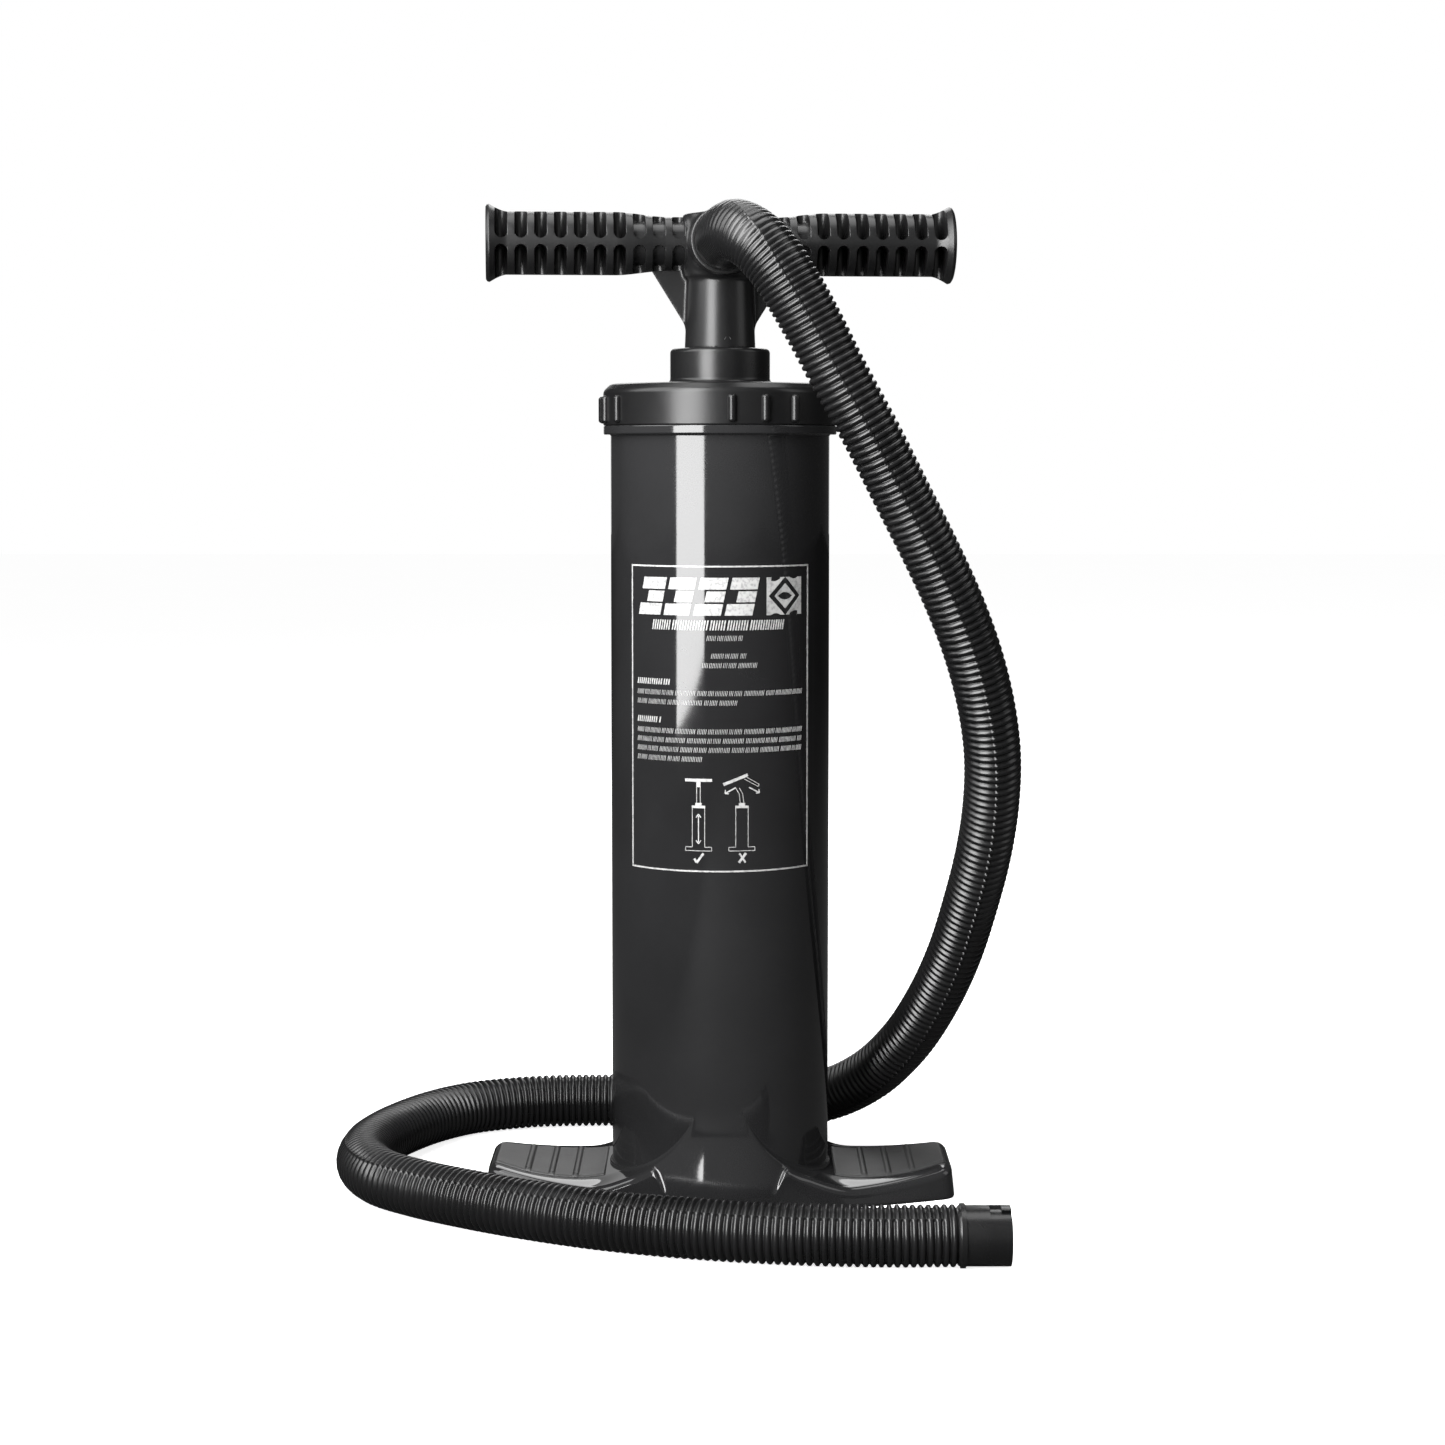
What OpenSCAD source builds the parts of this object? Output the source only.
// Standing double action hand pump. On both strokes air enters at the rear port, comes down the gap between
// the two rod tubes into the piston box, passes the valves and leaves up the inner tube by the front port.
// The handle is at the bottom of its stroke, the pump faces -Y and the origin is the floor under the barrel.

/* [Barrel] */
// Outside diameter of the barrel tube
barrel_d = 100; // [98:0.5:102]
// Wall thickness of the barrel tube
barrel_wall = 3; // [2.5:0.25:3.5]
// Height of the top face of the barrel flange
flange_top = 352.3; // [350:0.1:356]
// Radius of the skirt that the barrel spreads into at the floor
skirt_r = 57; // [56:0.5:58]

/* [Foot rests] */
// Length over both foot rests
base_l = 214.8; // [206:0.2:220]
// Distance of the lowest point of each foot rest from the pump's axis
foot_dip_x = 63; // [60:1:66]
// Height of that lowest point
foot_dip_z = 10; // [9:0.5:11]
// Radius of the foot rest's hollow on its outer side
foot_outer_r = 165; // [150:5:200]
// Radius of the foot rest's hollow where it climbs to the barrel
foot_inner_r = 58; // [56:1:60]

/* [Cap] */
// Lift of the cap in one turn of its thread
thread_pitch = 3; // [3:0.25:4]
// Outside diameter of the cap's neck
neck_d = 45.5; // [45:0.5:47]
// Height of the cap's gripping ribs
rib_h = 12.5; // [10:0.5:13]

/* [Handle] */
// Length of the grip
grip_l = 212.4; // [200:0.4:212.4]
// Diameter of the grip under the hand
grip_d = 28.4; // [28:0.2:30]
// Diameter of the grip's flared ends
grip_end_d = 35; // [33:0.5:36]
// Turn of the handle about the upright axis in degrees
grip_yaw = 4.5; // [0:0.5:6]
// Number of grip slots in each row on each side of the hub
slot_count = 10; // [8:1:10]

/* [Rod and piston] */
// Outside diameter of the outer rod tube
rod_d = 26; // [25:0.5:26]
// Outside diameter of the inner rod tube
inner_tube_d = 14; // [12:0.5:14]
// Height of the piston box
piston_h = 30; // [30:1:34]

/* [Hose] */
// Outside diameter of the hose
hose_d = 26; // [24:0.5:26]
// Inside diameter of the hose and its cuffs
hose_bore_d = 21; // [19:0.5:21]
// Length of a bayonet cuff
cuff_l = 21; // [21:0.5:22]
// Flat sides of the hose's plain tube
hose_sides = 10; // [8:1:12]

/* [Hidden] */
$fn = 96;

// Gaps between parts
fit = 0.05;
eps = 0.01;
face_gap = 0.1;
far = 300;

// Barrel and foot rests
barrel_r = barrel_d / 2;
bore_r = barrel_r - barrel_wall;
floor_low = 16;
floor_top = 20;
skirt_edge_z = 8;
skirt_top_z = 46;
flange_r = barrel_r + 3.25;
flange_h = 4.1;
collar_r = barrel_r - 0.4;
collar_top = flange_top + 11.7;
wing_arc_r = 400;
wing_arc_x = 41;
wing_arc_y = 345.5;
wing_top = 24;
shell = 3;
tread_xs = [66, 77, 88];
tread_w = 2;
tread_h = 0.8;
tread_half_l = 22;
under_rib_ys = [-14, 14];
under_rib_xs = [-84, 84];
label_low = 154;
label_high = 290.5;
label_half_angle = 52;
label_t = 0.2;
bumper_h = 3.9;

// Cap, screw thread and rod guide
cap_r = barrel_r + 3.3;
cap_bore_r = barrel_r + 1.2;
cap_low = flange_top + face_gap;
cap_shoulder = flange_top + 17.4;
cap_dome = flange_top + 19.3;
cap_ceiling = flange_top + 15.5;
cap_corner = 3;
neck_r = neck_d / 2;
neck_bore_r = neck_r - 2.5;
neck_top = flange_top + 34.9;
neck_edge = 2;
neck_lid = 2.6;
neck_hole_r = rod_d / 2 + 0.6;
rib_r = 55.6 - 53.3 + cap_r;
rib_w = 4;
rib_low = cap_low + 0.8;
rib_step = 16.3;
rib_groups = [22, 105, 202, 285];
ridge_root_w = 1.3;
ridge_tip_w = 0.8;
ridge_depth = 1.2;
ridge_sink = 0.4;
thread_turns = 1.5;
thread_low = flange_top + 3;
thread_sides = 36;
lug_count = 6;
lug_arc = 14;
guide_wall_r = bore_r - 0.2;
guide_plate_z = flange_top - 0.3;
guide_foot = flange_top - 9.3;
guide_sleeve_r = rod_d / 2 + 4;
guide_sleeve_top = neck_top - 6.2;
guide_bore_r = rod_d / 2 + fit;
guide_flange_z = collar_top + 1;
guide_flange_top = cap_ceiling - face_gap;
guide_rib_count = 6;
seal_pocket_r = guide_bore_r + 2.5;
seal_h = 5;
upper_bumper_r = 28;
upper_bumper_h = 10.9;

// Handle
stem_foot = neck_top + face_gap;
grip_z = flange_top + 82.2;
stem_foot_r = 16.1;
stem_top_r = 14.75;
hub_r = 16.5;
hub_top = grip_z + 13.5;
plug_r = 8.8;
plug_h = 4;
plug_rim = 1.8;
plug_dish = 0.8;
port_r = 15.2;
port_reach = 26;
socket_r = 12.65;
socket_depth = 17;
mouth_r = 12.8;
mouth_l = 7.5;
passage_r = 8;
chamber_r = 11;
chamber_low = grip_z - 14.5;
tube_boss_r = 9;
tube_top = grip_z + 5.5;
tube_window_r = 4.5;
grip_half = grip_l / 2;
grip_r = grip_d / 2;
grip_end_r = grip_end_d / 2;
grip_neck_r = grip_r - 2.1;
grip_neck_x = 27;
grip_full_x = 46;
flare_l = 9.2;
flare_edge = 1.6;
flare_lip = 2.4;
stem_top = grip_z - 13;
hub_low = grip_z - 15;
slot_w = 5.5;
slot_first_x = 19.4;
slot_pitch = 8.88;
slot_web = 2.7;
slot_plate = 2.4;
neck_core_r = 9.6;
neck_core_x = 41.5;
web_t = 1.8;
web_outline = [[14, -37.5], [16, -36.5], [19, -30], [24, -21], [31, -12.5], [31, -10], [14, -10]];
pin_r = 1.5;
pin_z = stem_foot + 3.4;
pin_turn = 8;

// Rods and piston box
rod_r = rod_d / 2;
rod_bore_r = rod_r - 2;
inner_tube_r = inner_tube_d / 2;
inner_bore_r = inner_tube_r - 1.5;
piston_low = floor_top + bumper_h + 0.1;
piston_top = piston_low + piston_h;
piston_split = piston_low + piston_h / 2;
piston_plate = 6;
piston_r = bore_r - 0.6;
piston_groove_r = piston_r - 3.9;
piston_room_r = piston_groove_r - 3.5;
shoulder_h = 2.5;
ring_gap = 0.1;
divider_t = 2;
rod_boss_r = 15.2;
rod_boss_h = 6;
tube_foot = piston_low + 7;
post_r = 4.5;
screw_r = 2;
screw_head_r = 3.6;
screw_head_h = 2.4;
screw_pcd_r = 33;
screw_foot = piston_low + 5;
screw_seat = piston_top - screw_head_h - 0.4;
window_r = 3.5;
tube_window_z = piston_low + 13;
valve_x = 24;
valve_r = 8.5;
valve_t = 1.5;
valve_lift = 1.5;
seat_t = 2.6;
valve_well_r = 10.5;
valve_stem_r = 1.3;
valve_bulb_r = 2;
valve_bulb_h = 0.9;
seat_hole_r = 1.7;
seat_hole_ring = 5.2;
seat_hole_count = 6;

// Bayonet cuffs: the groove runs part of the way round and opens through a slot to the plugged end
cuff_r = socket_r - fit;
cuff_bore_r = hose_bore_d / 2;
cuff_lip_r = 13.4;
cuff_lip_l = 2;
groove_from_end = 4;
groove_w = 5;
groove_depth = 1.4;
groove_low_angle = -11;
groove_high_angle = 41;
entry_low_angle = 19;
entry_high_angle = 40;
entry_depth = 1.35;
lug_half_angle = 8;
lug_l = 4;
lug_in_r = cuff_r - groove_depth + 0.15;
socket_foot = port_reach - socket_depth;
cuff_foot = socket_foot + 0.5;
cuff_mouth_y = cuff_foot + cuff_l;
seal_ring_t = 0.45;

// Hose route: the centre line from the front cuff round the back of the pump to the free connector
hose_start = [cuff_mouth_y * sin(grip_yaw), -cuff_mouth_y * cos(grip_yaw), grip_z];
hose_start_dir = [sin(grip_yaw), -cos(grip_yaw), 0];
hose_end_dir = [1, 0, 0];
hose_mid = [
    [4, -44, 436], [8, -56, 436], [15, -64, 431.5], [24, -68, 421.5], [32, -69, 409], [40, -68.5, 395],
    [50, -68, 376], [66, -66.5, 347], [80, -62.5, 320], [92, -58, 297], [103, -53, 274],
    [112, -47, 251], [118.5, -40, 228], [122.5, -32, 205], [123, -22, 181], [120.6, -11, 157],
    [116, 3, 131], [110.4, 18, 106], [101.5, 36, 79.5], [88.5, 56, 53.5], [72.5, 73, 34], [53, 88, 21],
    [27, 99, 14.5], [0, 104.5, 13.2], [-54, 109, 13.2], [-101, 103.5, 13.2], [-125, 92, 13.2],
    [-141, 75, 13.2], [-152.5, 55, 13.2], [-161.5, 32, 13.2], [-165.5, 8, 13.2], [-163, -17, 13.2],
    [-153, -38, 13.2], [-134, -56.5, 13.2], [-109, -74.5, 13.2], [-79.5, -92, 13.2], [-45, -108, 13.2],
    [-8, -119.5, 13.2], [33, -127, 13.2], [70, -130, 13.3]
];
hose_end = [100.4, -130, 13.5];
hose_points = concat([hose_start], hose_mid, [hose_end]);
hose_last = len(hose_points) - 1;

// Points of an arc about (cx, cy) from angle a0 to a1 in n steps
function arc(cx, cy, r, a0, a1, n) =
    [for (i = [0:n]) [cx + r * cos(a0 + (a1 - a0) * i / n), cy + r * sin(a0 + (a1 - a0) * i / n)]];
function unit(v) = v / norm(v);
function hose_dir(i) =
    i == 0 ? hose_start_dir :
    i == hose_last ? hose_end_dir :
    unit(hose_points[i + 1] - hose_points[i - 1]);

// One ring of points about the hose's centre line
function hose_ring(i, r) =
    let (t = hose_dir(i), u = unit(cross(t, [0, 0, 1])), v = cross(t, u))
    [for (k = [0:hose_sides - 1])
        hose_points[i] + r * (cos(360 * k / hose_sides) * u + sin(360 * k / hose_sides) * v)];

// Index of a point in a stack of rings of n points
function at(ring, k, n, base) = base + ring * n + k % n;
function wall_faces(rings, n, base, flip) =
    [for (i = [0:rings - 2], k = [0:n - 1], half = [0, 1])
        let (a = at(i, k, n, base), b = at(i, k + 1, n, base),
             c = at(i + 1, k + 1, n, base), d = at(i + 1, k, n, base),
             f = half == 0 ? [a, b, c] : [a, c, d])
        flip ? [f[2], f[1], f[0]] : f];
function end_faces(ring, n, inner_base, flip) =
    [for (k = [0:n - 1], half = [0, 1])
        let (a = at(ring, k, n, 0), b = at(ring, k + 1, n, 0),
             c = at(ring, k + 1, n, inner_base), d = at(ring, k, n, inner_base),
             f = half == 0 ? [a, b, c] : [a, c, d])
        flip ? [f[2], f[1], f[0]] : f];

module ring(inner, outer, low, high) {
    rotate_extrude() translate([inner, low]) square([outer - inner, high - low]);
}

// A helical ridge: each ring of four points is its cross-section, inner corners first
module thread_ridge(in_r, in_w, out_r, out_w, low) {
    rings = thread_turns * thread_sides + 1;
    points = [for (i = [0:rings - 1])
        let (a = 360 * i / thread_sides, z = low + thread_pitch * i / thread_sides)
        for (p = [[in_r, -in_w / 2], [out_r, -out_w / 2], [out_r, out_w / 2], [in_r, in_w / 2]])
            [p[0] * cos(a), p[0] * sin(a), z + p[1]]];
    last = (rings - 1) * 4;
    ends = [[0, 1, 2], [0, 2, 3], [last + 2, last + 1, last], [last + 3, last + 2, last]];
    polyhedron(points, concat(wall_faces(rings, 4, 0, true), ends));
}

// ---- Barrel ----

module wing_outline(inset) {
    intersection() {
        square([base_l - 2 * inset, far], center = true);
        translate([wing_arc_x, wing_arc_y]) circle(wing_arc_r - inset);
        translate([-wing_arc_x, wing_arc_y]) circle(wing_arc_r - inset);
        translate([wing_arc_x, -wing_arc_y]) circle(wing_arc_r - inset);
        translate([-wing_arc_x, -wing_arc_y]) circle(wing_arc_r - inset);
    }
}

// Everything above the hollow tops of the two foot rests, lowered by drop
module above_feet(drop) {
    for (side = [0, 1])
        mirror([side, 0, 0]) rotate([90, 0, 0]) linear_extrude(far, center = true) {
            intersection() {
                translate([foot_dip_x, foot_dip_z + foot_outer_r]) circle(foot_outer_r + drop);
                translate([foot_dip_x, -drop]) square([far, far]);
            }
            intersection() {
                translate([foot_dip_x, foot_dip_z + foot_inner_r]) circle(foot_inner_r + drop);
                translate([0, -drop]) square([foot_dip_x + eps, far]);
            }
        }
}

module skirt() {
    rotate_extrude()
        polygon([[barrel_r - 1, 0], [skirt_r, 0], [skirt_r, skirt_edge_z],
                 [barrel_r, skirt_top_z], [barrel_r - 1, skirt_top_z]]);
}

module foot_shell() {
    difference() {
        linear_extrude(wing_top) wing_outline(0);
        difference() {
            translate([0, 0, -eps]) linear_extrude(wing_top) wing_outline(shell);
            above_feet(shell);
            cylinder(r = barrel_r, h = far);
            for (y = under_rib_ys) translate([-far, y - 1, 2]) cube([2 * far, 2, wing_top]);
            for (x = under_rib_xs) translate([x - 1, -far, 2]) cube([2, 2 * far, wing_top]);
        }
    }
}

module treads() {
    for (side = [-1, 1], x = tread_xs)
        translate([side * x - tread_w / 2, -tread_half_l, foot_dip_z - 2])
            cube([tread_w, 2 * tread_half_l, 5]);
}

module barrel() {
    color("#35353a") {
        difference() {
            union() {
                difference() {
                    union() {
                        skirt();
                        foot_shell();
                    }
                    above_feet(0);
                }
                difference() {
                    treads();
                    above_feet(-tread_h);
                }
                cylinder(r = barrel_r, h = flange_top - flange_h + eps);
                translate([0, 0, flange_top - flange_h]) cylinder(r = flange_r, h = flange_h);
                cylinder(r = collar_r, h = collar_top);
                thread_ridge(collar_r - ridge_sink, ridge_root_w, collar_r + ridge_depth, ridge_tip_w,
                             thread_low);
            }
            translate([0, 0, floor_top]) cylinder(r = bore_r, h = far + far);
            translate([0, 0, -eps]) cylinder(r = bore_r - 1, h = floor_low + eps);
        }
    }
}

module label() {
    color("#2b2b2e")
        difference() {
            ring(barrel_r, barrel_r + label_t, label_low, label_high);
            for (side = [0, 1])
                mirror([side, 0, 0]) rotate([0, 0, label_half_angle - 90])
                    translate([0, 0, label_low - 1]) cube([far, far, label_high - label_low + 2]);
            translate([-far / 2, 0, label_low - 1]) cube([far, far, label_high - label_low + 2]);
        }
}

module lower_bumper() {
    color("#1d1d1f") ring(26, 40, floor_top, floor_top + bumper_h);
}

// ---- Cap and rod guide ----

module cap_shell() {
    rotate_extrude()
        polygon(concat(
            [[cap_bore_r, cap_low], [cap_bore_r, cap_ceiling], [neck_bore_r, cap_ceiling],
             [neck_bore_r, neck_top - neck_lid], [neck_hole_r, neck_top - neck_lid],
             [neck_hole_r, neck_top]],
            arc(neck_r - neck_edge, neck_top - neck_edge, neck_edge, 90, 0, 5),
            arc(neck_r + neck_edge, cap_dome + neck_edge, neck_edge, 180, 265, 5),
            arc(cap_r - cap_corner, cap_shoulder - cap_corner, cap_corner, 86, 0, 5),
            [[cap_r, cap_low]]
        ));
}

module cap_ribs() {
    for (group = rib_groups, k = [-1, 0, 1])
        rotate([0, 0, group + k * rib_step - 90])
            translate([rib_r - rib_w / 2, 0, rib_low]) {
                cylinder(d = rib_w, h = rib_h);
                translate([-rib_w / 2, -rib_w / 2, 0]) cube([rib_w / 2, rib_w, rib_h]);
            }
}

// Short lugs that run between the turns of the barrel's thread, half a pitch above its ridge
module thread_lugs() {
    for (k = [0:lug_count - 1])
        rotate([0, 0, 360 * k / lug_count - lug_arc / 2])
            translate([0, 0, thread_low + thread_pitch * (k / lug_count + 0.5)])
                rotate_extrude(angle = lug_arc)
                    polygon([[cap_bore_r - ridge_depth, -ridge_tip_w / 2],
                             [cap_bore_r + ridge_sink, -ridge_root_w / 2],
                             [cap_bore_r + ridge_sink, ridge_root_w / 2],
                             [cap_bore_r - ridge_depth, ridge_tip_w / 2]]);
}

module cap() {
    color("#1c1c1e") {
        cap_shell();
        difference() {
            cap_ribs();
            cylinder(r = cap_r - 0.5, h = neck_top);
        }
        thread_lugs();
    }
}

module rod_wiper() {
    color("#55524c") ring(rod_r + 0.1, neck_bore_r - fit, guide_sleeve_top + 0.3, neck_top - neck_lid - fit);
}

module rod_guide() {
    color("#d8d6cf")
        difference() {
            union() {
                ring(rod_r - 1, guide_sleeve_r, guide_foot, guide_sleeve_top);
                ring(guide_sleeve_r - 1, guide_wall_r, guide_plate_z, guide_plate_z + shell);
                ring(guide_wall_r - 2.8, guide_wall_r, guide_plate_z, guide_flange_top);
                ring(guide_wall_r - 2.8, collar_r - 0.2, guide_flange_z, guide_flange_top);
                for (k = [1:guide_rib_count])
                    rotate([0, 0, 360 * k / guide_rib_count])
                        translate([guide_sleeve_r - 1, -1, guide_plate_z])
                            cube([guide_wall_r - guide_sleeve_r - 1, 2, 11]);
            }
            translate([0, 0, guide_foot - 1]) cylinder(r = guide_bore_r, h = far);
            translate([0, 0, guide_foot - eps]) cylinder(r = seal_pocket_r, h = seal_h);
        }
}

module guide_gasket() {
    color("#1d1d1f") ring(bore_r + 0.2, collar_r - 0.2, collar_top + fit, guide_flange_z);
}

module rod_seal() {
    color("#1d1d1f") ring(rod_r + 0.03, seal_pocket_r - fit, guide_foot + 0.3, guide_foot + seal_h - 2 * eps);
}

module upper_bumper() {
    color("#1d1d1f")
        ring(guide_sleeve_r + fit, upper_bumper_r, guide_plate_z - upper_bumper_h, guide_plate_z);
}

// ---- Handle ----

// The grip turned about X, from half of its outline as radius and distance from the middle
module grip_solid() {
    half = concat(
        [[grip_neck_r, grip_neck_x], [grip_r, grip_full_x], [grip_r, grip_half - flare_l],
         [grip_r + 1, grip_half - flare_l + 2], [grip_end_r, grip_half - flare_lip]],
        arc(grip_end_r - flare_edge, grip_half - flare_edge, flare_edge, 0, 90, 4),
        [[0, grip_half]]
    );
    rotate([0, 90, 0])
        rotate_extrude()
            polygon(concat([for (i = [len(half) - 1:-1:0]) [half[i][0], -half[i][1]]], half));
}

// Slots seen along Y: round at the middle web and open at the rim
module slot_fronts() {
    low = (slot_web + slot_w) / 2;
    for (side = [0, 1], row = [0, 1], k = [0:slot_count - 1])
        mirror([side, 0]) mirror([0, row]) translate([slot_first_x + k * slot_pitch, low]) {
            circle(d = slot_w);
            translate([-slot_w / 2, 0]) square([slot_w, grip_end_r]);
        }
}

// Slots seen along Z: a round floor on either side of the upright plate in the middle of the grip
module slot_plans() {
    deep = (slot_plate + slot_w) / 2;
    for (side = [0, 1], face = [0, 1], k = [0:slot_count - 1])
        mirror([side, 0]) mirror([0, face]) translate([slot_first_x + k * slot_pitch, deep]) {
            circle(d = slot_w);
            translate([-slot_w / 2, 0]) square([slot_w, grip_end_r]);
        }
}

module grip_slots() {
    intersection() {
        rotate([90, 0, 0]) linear_extrude(2 * grip_end_r, center = true) slot_fronts();
        linear_extrude(2 * grip_end_r, center = true) slot_plans();
    }
}

// The round core that the slots leave standing beside the hub
module grip_core() {
    rotate([0, 90, 0]) cylinder(r = neck_core_r, h = 2 * neck_core_x, center = true);
}

// Thin webs in the corners between the stem and the grip
module webs() {
    for (side = [0, 1])
        mirror([side, 0, 0]) translate([0, 0, grip_z]) rotate([90, 0, 0])
            linear_extrude(web_t, center = true) polygon(web_outline);
}

// Round bore along Y, from the middle outward
module along_y(r, from, to, side) {
    mirror([0, side, 0]) rotate([90, 0, 0]) translate([0, 0, from]) cylinder(r = r, h = to - from);
}

module handle_solid() {
    translate([0, 0, stem_foot])
        cylinder(r1 = stem_foot_r, r2 = stem_top_r, h = stem_top - stem_foot);
    translate([0, 0, hub_low]) cylinder(r = hub_r, h = hub_top - hub_low);
    webs();
    translate([0, 0, grip_z]) {
        difference() {
            grip_solid();
            grip_slots();
        }
        grip_core();
        for (side = [0, 1]) along_y(port_r, 0, port_reach, side);
    }
}

module handle_rooms() {
    translate([0, 0, stem_foot - eps]) cylinder(r = rod_r + fit, h = chamber_low - stem_foot + eps);
    translate([0, 0, hub_top - plug_h]) cylinder(r = plug_r + fit, h = plug_h + 1);
    difference() {
        translate([0, 0, chamber_low - eps])
            intersection() {
                cylinder(r = chamber_r, h = hub_top - plug_h - chamber_low + 2 * eps);
                translate([-far, 0, 0]) cube([2 * far, far, far]);
            }
        translate([0, 0, grip_z - 9]) cylinder(r = tube_boss_r, h = 17);
    }
    translate([0, 0, grip_z]) along_y(passage_r, tube_boss_r, port_reach, 1);
    translate([0, 0, chamber_low - 1]) cylinder(r = inner_tube_r + fit, h = tube_top - chamber_low + 1);
    translate([0, 0, grip_z]) {
        along_y(tube_window_r, 0, port_reach, 0);
        for (side = [0, 1]) {
            along_y(socket_r, port_reach - socket_depth, port_reach, side);
            along_y(mouth_r, port_reach - mouth_l, port_reach + 1, side);
        }
    }
}

// Two lugs in each socket hold a cuff by its groove
module socket_lugs() {
    lug_y = cuff_foot + groove_from_end + (groove_w - lug_l) / 2;
    translate([0, 0, grip_z])
        for (side = [0, 1], up = [0, 1])
            mirror([0, side, 0]) mirror([0, 0, up]) rotate([90, 0, 0]) translate([0, 0, lug_y])
                intersection() {
                    ring(lug_in_r, socket_r + 0.5, 0, lug_l);
                    translate([-socket_r * sin(lug_half_angle), 0, 0])
                        cube([2 * socket_r * sin(lug_half_angle), far, lug_l]);
                }
}

module pin_pair(r, inner, outer) {
    rotate([0, 0, pin_turn]) translate([0, 0, pin_z])
        for (side = [0, 1]) along_y(r, inner, outer, side);
}

module handle() {
    color("#1c1c1e") rotate([0, 0, grip_yaw]) {
        difference() {
            handle_solid();
            handle_rooms();
            pin_pair(pin_r + fit, rod_r - 1, stem_foot_r + 1);
        }
        socket_lugs();
    }
}

module hub_plug() {
    color("#232325") translate([0, 0, hub_top - plug_h])
        difference() {
            cylinder(r = plug_r, h = plug_h);
            translate([0, 0, plug_h - plug_dish]) cylinder(r = plug_r - plug_rim, h = plug_dish + 1);
        }
}

module rod_pins() {
    color("#3a3a3e") rotate([0, 0, grip_yaw]) pin_pair(pin_r, rod_bore_r + 0.2, stem_foot_r - 0.2);
}

module rod_outer() {
    color("#b9bbbe")
        difference() {
            ring(rod_bore_r, rod_r, piston_top - piston_plate - rod_boss_h, chamber_low - fit);
            rotate([0, 0, grip_yaw]) pin_pair(pin_r + fit, 0, rod_r + 1);
        }
}

module rod_inner() {
    color("#b9bbbe")
        difference() {
            ring(inner_bore_r, inner_tube_r, tube_foot, tube_top - fit);
            rotate([0, 0, grip_yaw]) translate([0, 0, grip_z]) along_y(tube_window_r, 0, far, 0);
            translate([0, 0, tube_window_z]) rotate([0, 90, 0]) cylinder(r = window_r, h = far);
        }
}

module port_seal(side) {
    rotate([0, 0, grip_yaw]) translate([0, 0, grip_z])
        mirror([0, side, 0]) rotate([90, 0, 0])
            ring(passage_r + 1, socket_r - fit, socket_foot, socket_foot + seal_ring_t);
}

module inflate_port_seal() {
    color("#8a3b2e") port_seal(0);
}

module deflate_port_seal() {
    color("#8a3b2e") port_seal(1);
}

// ---- Piston box ----

// Well, seat holes and stem hole of one valve, cut down from the plate's outer face
module seat_cut() {
    cylinder(r = valve_well_r, h = piston_plate);
    translate([0, 0, -seat_t - 1]) {
        cylinder(r = valve_stem_r + fit + 0.1, h = seat_t + 2);
        for (k = [1:seat_hole_count])
            rotate([0, 0, 360 * k / seat_hole_count])
                translate([seat_hole_ring, 0, 0]) cylinder(r = seat_hole_r, h = seat_t + 2);
    }
}

module screw_places() {
    for (k = [0:3]) rotate([0, 0, 45 + 90 * k]) translate([screw_pcd_r, 0, 0]) children();
}

// Round wall, divider and screw posts of one half of the piston box, with its shoulder at shoulder_low
module piston_half_wall(low, high, shoulder_low, hole_r) {
    ring(piston_room_r, piston_groove_r, low, high);
    ring(piston_room_r, piston_r, shoulder_low, shoulder_low + shoulder_h);
    difference() {
        translate([-divider_t / 2, -piston_room_r - 0.5, low])
            cube([divider_t, 2 * piston_room_r + 1, high - low]);
        translate([0, 0, low - 1]) cylinder(r = hole_r, h = high - low + 2);
    }
    screw_places() translate([0, 0, low]) cylinder(r = post_r, h = high - low);
}

module piston_upper() {
    plate_low = piston_top - piston_plate;
    color("#d8d6cf")
        difference() {
            union() {
                translate([0, 0, plate_low]) cylinder(r = piston_r, h = piston_plate);
                piston_half_wall(piston_split + fit, plate_low + eps, piston_split + fit, rod_r + fit);
                translate([0, 0, plate_low - rod_boss_h]) cylinder(r = rod_boss_r, h = rod_boss_h + eps);
            }
            translate([0, 0, plate_low - rod_boss_h - 1]) cylinder(r = rod_r + fit, h = far);
            screw_places() {
                translate([0, 0, piston_split - 1]) cylinder(r = screw_r + fit, h = far);
                translate([0, 0, screw_seat]) cylinder(r = screw_head_r + fit, h = far);
            }
            for (x = [-valve_x, valve_x]) translate([x, 0, plate_low + seat_t]) seat_cut();
        }
}

module piston_lower() {
    plate_high = piston_low + piston_plate;
    rod_end = piston_top - piston_plate - rod_boss_h;
    color("#d8d6cf")
        difference() {
            union() {
                translate([0, 0, piston_low]) cylinder(r = piston_r, h = piston_plate);
                piston_half_wall(plate_high - eps, piston_split, piston_split - shoulder_h, rod_bore_r);
                translate([0, 0, plate_high - eps]) cylinder(r = rod_bore_r, h = 3);
                intersection() {
                    ring(inner_tube_r, rod_r, plate_high - eps, rod_end - fit);
                    translate([0, -far / 2, 0]) cube([far, far, far]);
                }
            }
            translate([0, 0, tube_foot]) cylinder(r = inner_tube_r + fit, h = far);
            translate([0, 0, tube_window_z]) rotate([0, 90, 0]) cylinder(r = window_r, h = rod_r + 2);
            screw_places() translate([0, 0, screw_foot - 1]) cylinder(r = screw_r + fit, h = far);
            for (x = [-valve_x, valve_x])
                translate([x, 0, plate_high - seat_t]) mirror([0, 0, 1]) seat_cut();
        }
}

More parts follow.
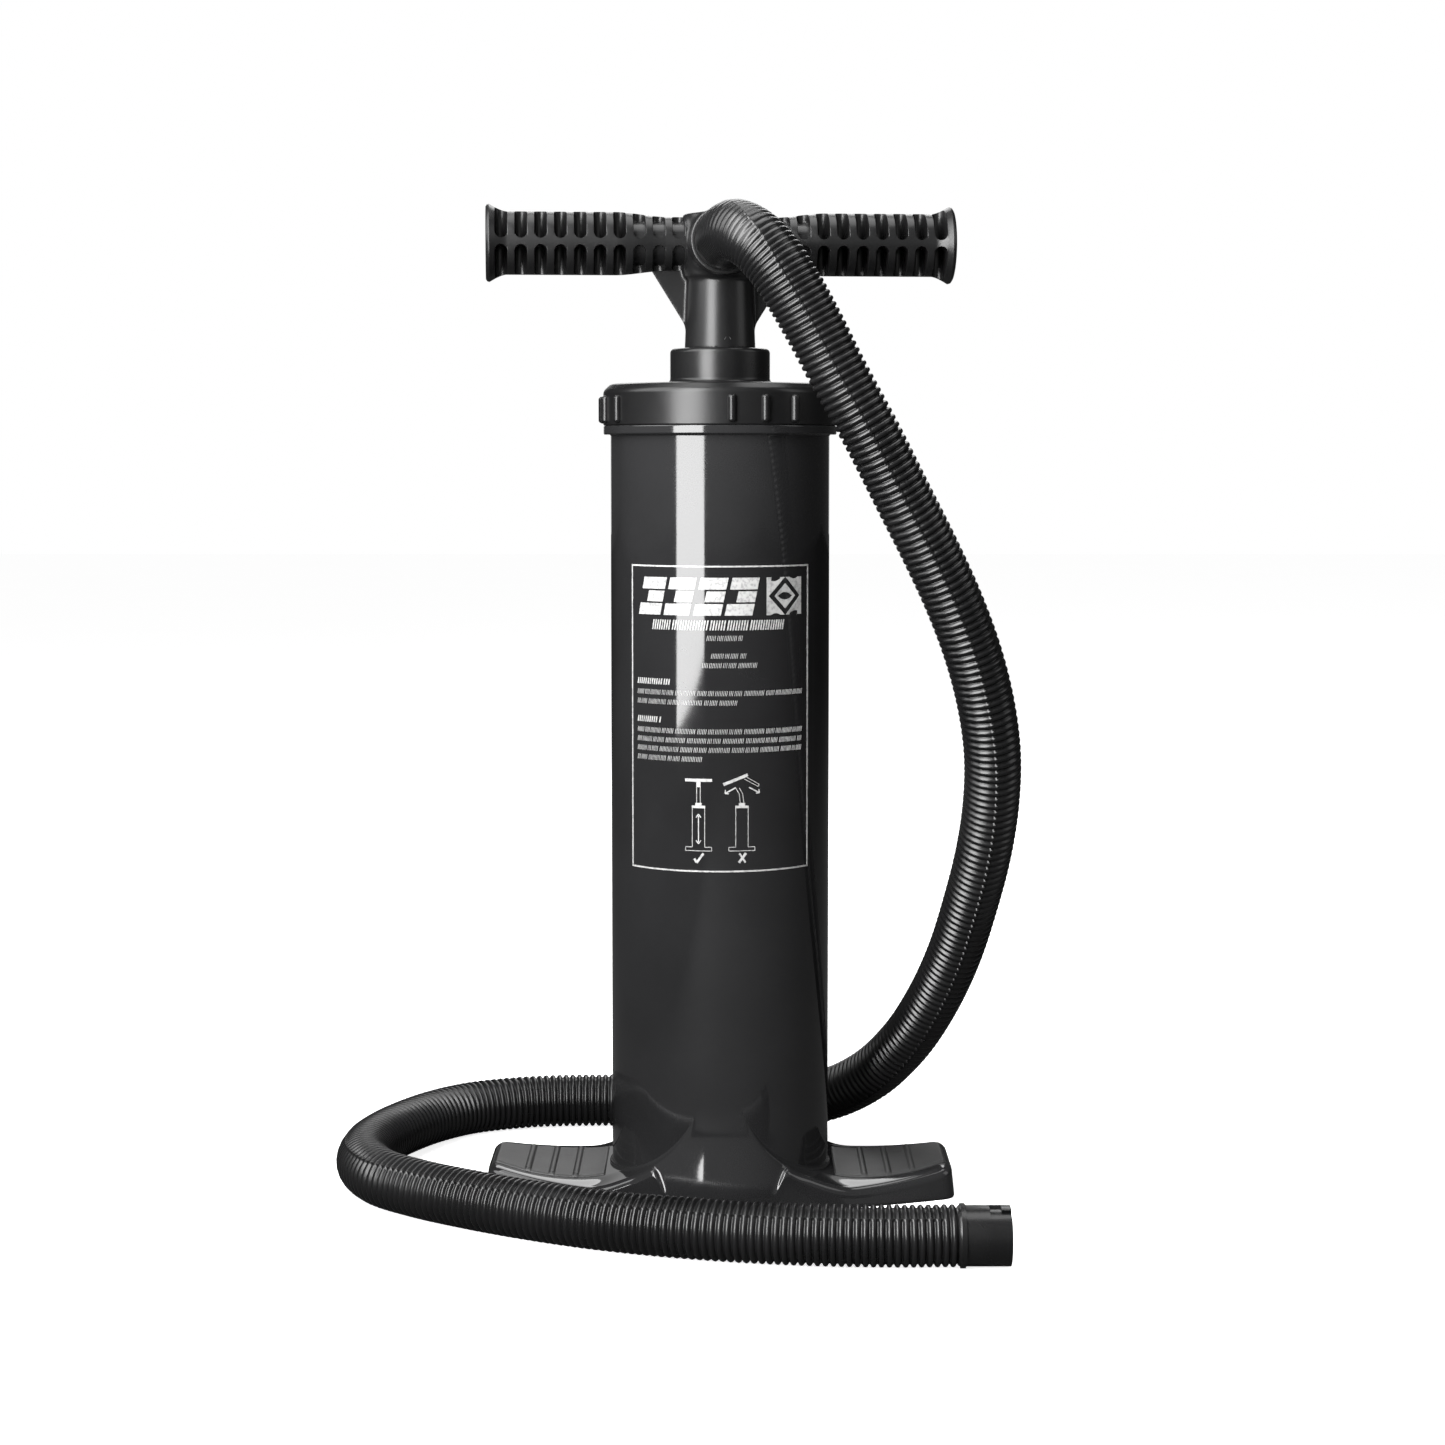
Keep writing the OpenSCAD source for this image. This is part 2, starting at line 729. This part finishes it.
module piston_screws() {
    color("#8f9296")
        screw_places()
            difference() {
                union() {
                    translate([0, 0, screw_foot]) cylinder(r = screw_r, h = screw_seat - screw_foot + eps);
                    translate([0, 0, screw_seat]) cylinder(r = screw_head_r, h = screw_head_h);
                }
                translate([0, 0, screw_seat + 1]) cylinder(r = 1.6, h = 3, $fn = 6);
            }
}

module piston_ring(low, high) {
    color("#1d1d1f") ring(piston_groove_r + fit, bore_r - fit, low + ring_gap, high - ring_gap);
}

module upper_piston_ring() {
    piston_ring(piston_split + shoulder_h, piston_top - piston_plate);
}

module lower_piston_ring() {
    piston_ring(piston_low + piston_plate, piston_split - shoulder_h);
}

// A soft disc on a stem, which opens away from its seat by valve_lift
module valve(seat_z, x, opens) {
    stem = seat_t + valve_lift + valve_bulb_h + face_gap;
    color("#8a3b2e") translate([x, 0, seat_z]) mirror([0, 0, opens < 0 ? 1 : 0]) {
        cylinder(r = valve_r, h = valve_t);
        translate([0, 0, -stem]) cylinder(r = valve_stem_r, h = stem + eps);
        translate([0, 0, -stem]) cylinder(r = valve_bulb_r, h = valve_bulb_h);
    }
}

module upper_intake_valve() {
    valve(piston_top - piston_plate + seat_t, -valve_x, 1);
}

module lower_intake_valve() {
    valve(piston_low + piston_plate - seat_t, -valve_x, -1);
}

module upper_outlet_valve() {
    valve(piston_top - piston_plate, valve_x, -1);
}

module lower_outlet_valve() {
    valve(piston_low + piston_plate, valve_x, 1);
}

// ---- Hose ----

// A cuff stands on its hose end and points up its own axis
module bayonet_cuff() {
    groove_low = cuff_l - groove_from_end - groove_w;
    difference() {
        union() {
            ring(cuff_bore_r, cuff_r, 0, cuff_l);
            ring(cuff_bore_r, cuff_lip_r, 0, cuff_lip_l);
        }
        for (half = [0, 180])
            rotate([0, 0, half]) {
                rotate([0, 0, groove_low_angle]) translate([0, 0, groove_low])
                    rotate_extrude(angle = groove_high_angle - groove_low_angle)
                        translate([cuff_r - groove_depth, 0]) square([groove_depth + 1, groove_w]);
                rotate([0, 0, entry_low_angle]) translate([0, 0, groove_low + 1])
                    rotate_extrude(angle = entry_high_angle - entry_low_angle)
                        translate([cuff_r - entry_depth, 0]) square([entry_depth + 2, cuff_l]);
            }
    }
}

module hose_cuff() {
    color("#1f1f21") rotate([0, 0, grip_yaw]) translate([0, -cuff_mouth_y, grip_z])
        rotate([-90, 0, 0]) rotate([0, 0, 90]) bayonet_cuff();
}

module hose_connector() {
    color("#1f1f21") translate(hose_end) rotate([0, 90, 0]) bayonet_cuff();
}

module hose() {
    outer = [for (i = [0:hose_last]) each hose_ring(i, hose_d / 2)];
    inner = [for (i = [0:hose_last]) each hose_ring(i, hose_bore_d / 2)];
    rings = hose_last + 1;
    n = hose_sides;
    inner_base = rings * n;
    color("#242426")
        polyhedron(concat(outer, inner), concat(
            wall_faces(rings, n, 0, false), wall_faces(rings, n, inner_base, true),
            end_faces(0, n, inner_base, true), end_faces(rings - 1, n, inner_base, false)));
}

barrel();
label();
lower_bumper();
cap();
rod_wiper();
rod_guide();
guide_gasket();
rod_seal();
upper_bumper();
handle();
hub_plug();
rod_pins();
rod_outer();
rod_inner();
inflate_port_seal();
deflate_port_seal();
piston_upper();
piston_lower();
piston_screws();
upper_piston_ring();
lower_piston_ring();
upper_intake_valve();
lower_intake_valve();
upper_outlet_valve();
lower_outlet_valve();
hose_cuff();
hose();
hose_connector();
